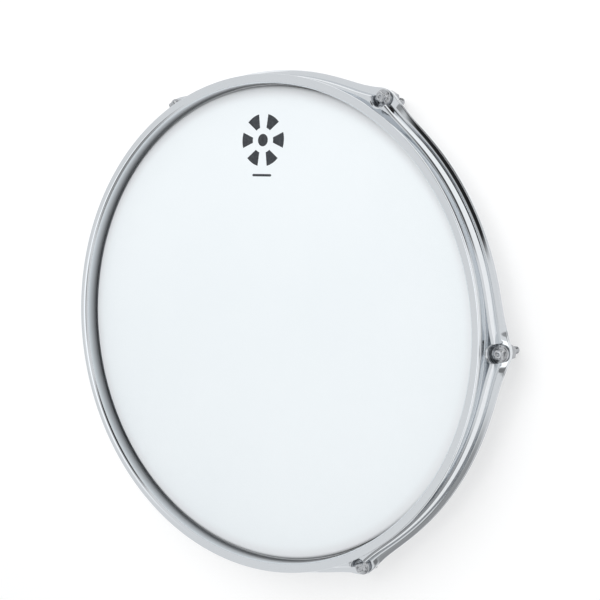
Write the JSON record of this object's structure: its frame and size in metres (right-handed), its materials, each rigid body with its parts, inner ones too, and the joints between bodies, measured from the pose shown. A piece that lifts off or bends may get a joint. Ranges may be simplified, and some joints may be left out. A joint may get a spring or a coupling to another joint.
{
  "type": "frame drum",
  "caption": "Shallow open-backed drum: white mesh head stretched over a ply shell between two chrome hoops, tuned by key rods around the rim.",
  "frame": {"origin": "on the drum's axis, in the plane that the rear rim rests on", "axes": "+Z along the drum's axis, from the open back to the playing side; +X through the first rod"},
  "size_m": [0.398, 0.3818, 0.047],
  "materials": {
    "front_hoop_chrome": "bright chrome plate on pressed steel",
    "rear_hoop_chrome": "bright chrome plate on pressed steel",
    "shell_ply": "satin clear lacquer on maple plywood",
    "head_mesh": "white fine woven mesh, stretched",
    "flesh_hoop_alloy": "mill finish aluminium",
    "rod_chrome": "chrome-plated steel, cut thread",
    "washer_steel": "zinc-plated steel",
    "nut_steel": "nickel-plated steel"
  },
  "bodies": {
    "base": {"rear_hoop": "rear_hoop_chrome", "shell": "shell_ply", "drumhead": "head_mesh", "lug_nut_1": "nut_steel", "lug_nut_2": "nut_steel", "lug_nut_3": "nut_steel", "lug_nut_4": "nut_steel", "lug_nut_5": "nut_steel", "lug_nut_6": "nut_steel"},
    "tuning_hoop": {"front_hoop": "front_hoop_chrome", "flesh_hoop": "flesh_hoop_alloy", "rod_washer_1": "washer_steel", "rod_washer_2": "washer_steel", "rod_washer_3": "washer_steel", "rod_washer_4": "washer_steel", "rod_washer_5": "washer_steel", "rod_washer_6": "washer_steel"},
    "rod_1": {"tension_rod_1": "rod_chrome"},
    "rod_2": {"tension_rod_2": "rod_chrome"},
    "rod_3": {"tension_rod_3": "rod_chrome"},
    "rod_4": {"tension_rod_4": "rod_chrome"},
    "rod_5": {"tension_rod_5": "rod_chrome"},
    "rod_6": {"tension_rod_6": "rod_chrome"}
  },
  "joints": [
    {"name": "hoop_travel", "type": "slide", "parent": "base", "child": "tuning_hoop", "axis": [0, 0, 1], "range_m": [0, 0.003]},
    {"name": "rod_1_turn", "type": "hinge", "parent": "tuning_hoop", "child": "rod_1", "pos_m": [0.1926, 0, 0.0294], "axis": [0, 0, 1], "range_deg": [0, 1021]},
    {"name": "rod_2_turn", "type": "hinge", "parent": "tuning_hoop", "child": "rod_2", "pos_m": [0.0963, 0.1668, 0.0294], "axis": [0, 0, 1], "range_deg": [0, 1021]},
    {"name": "rod_3_turn", "type": "hinge", "parent": "tuning_hoop", "child": "rod_3", "pos_m": [-0.0963, 0.1668, 0.0294], "axis": [0, 0, 1], "range_deg": [0, 1021]},
    {"name": "rod_4_turn", "type": "hinge", "parent": "tuning_hoop", "child": "rod_4", "pos_m": [-0.1926, 0, 0.0294], "axis": [0, 0, 1], "range_deg": [0, 1021]},
    {"name": "rod_5_turn", "type": "hinge", "parent": "tuning_hoop", "child": "rod_5", "pos_m": [-0.0963, -0.1668, 0.0294], "axis": [0, 0, 1], "range_deg": [0, 1021]},
    {"name": "rod_6_turn", "type": "hinge", "parent": "tuning_hoop", "child": "rod_6", "pos_m": [0.0963, -0.1668, 0.0294], "axis": [0, 0, 1], "range_deg": [0, 1021]}
  ],
  "couplings": [
    {"joint": "rod_1_turn", "follows": "hoop_travel", "rad_per_m": 5936.9},
    {"joint": "rod_2_turn", "follows": "hoop_travel", "rad_per_m": 5936.9},
    {"joint": "rod_3_turn", "follows": "hoop_travel", "rad_per_m": 5936.9},
    {"joint": "rod_4_turn", "follows": "hoop_travel", "rad_per_m": 5936.9},
    {"joint": "rod_5_turn", "follows": "hoop_travel", "rad_per_m": 5936.9},
    {"joint": "rod_6_turn", "follows": "hoop_travel", "rad_per_m": 5936.9}
  ]
}
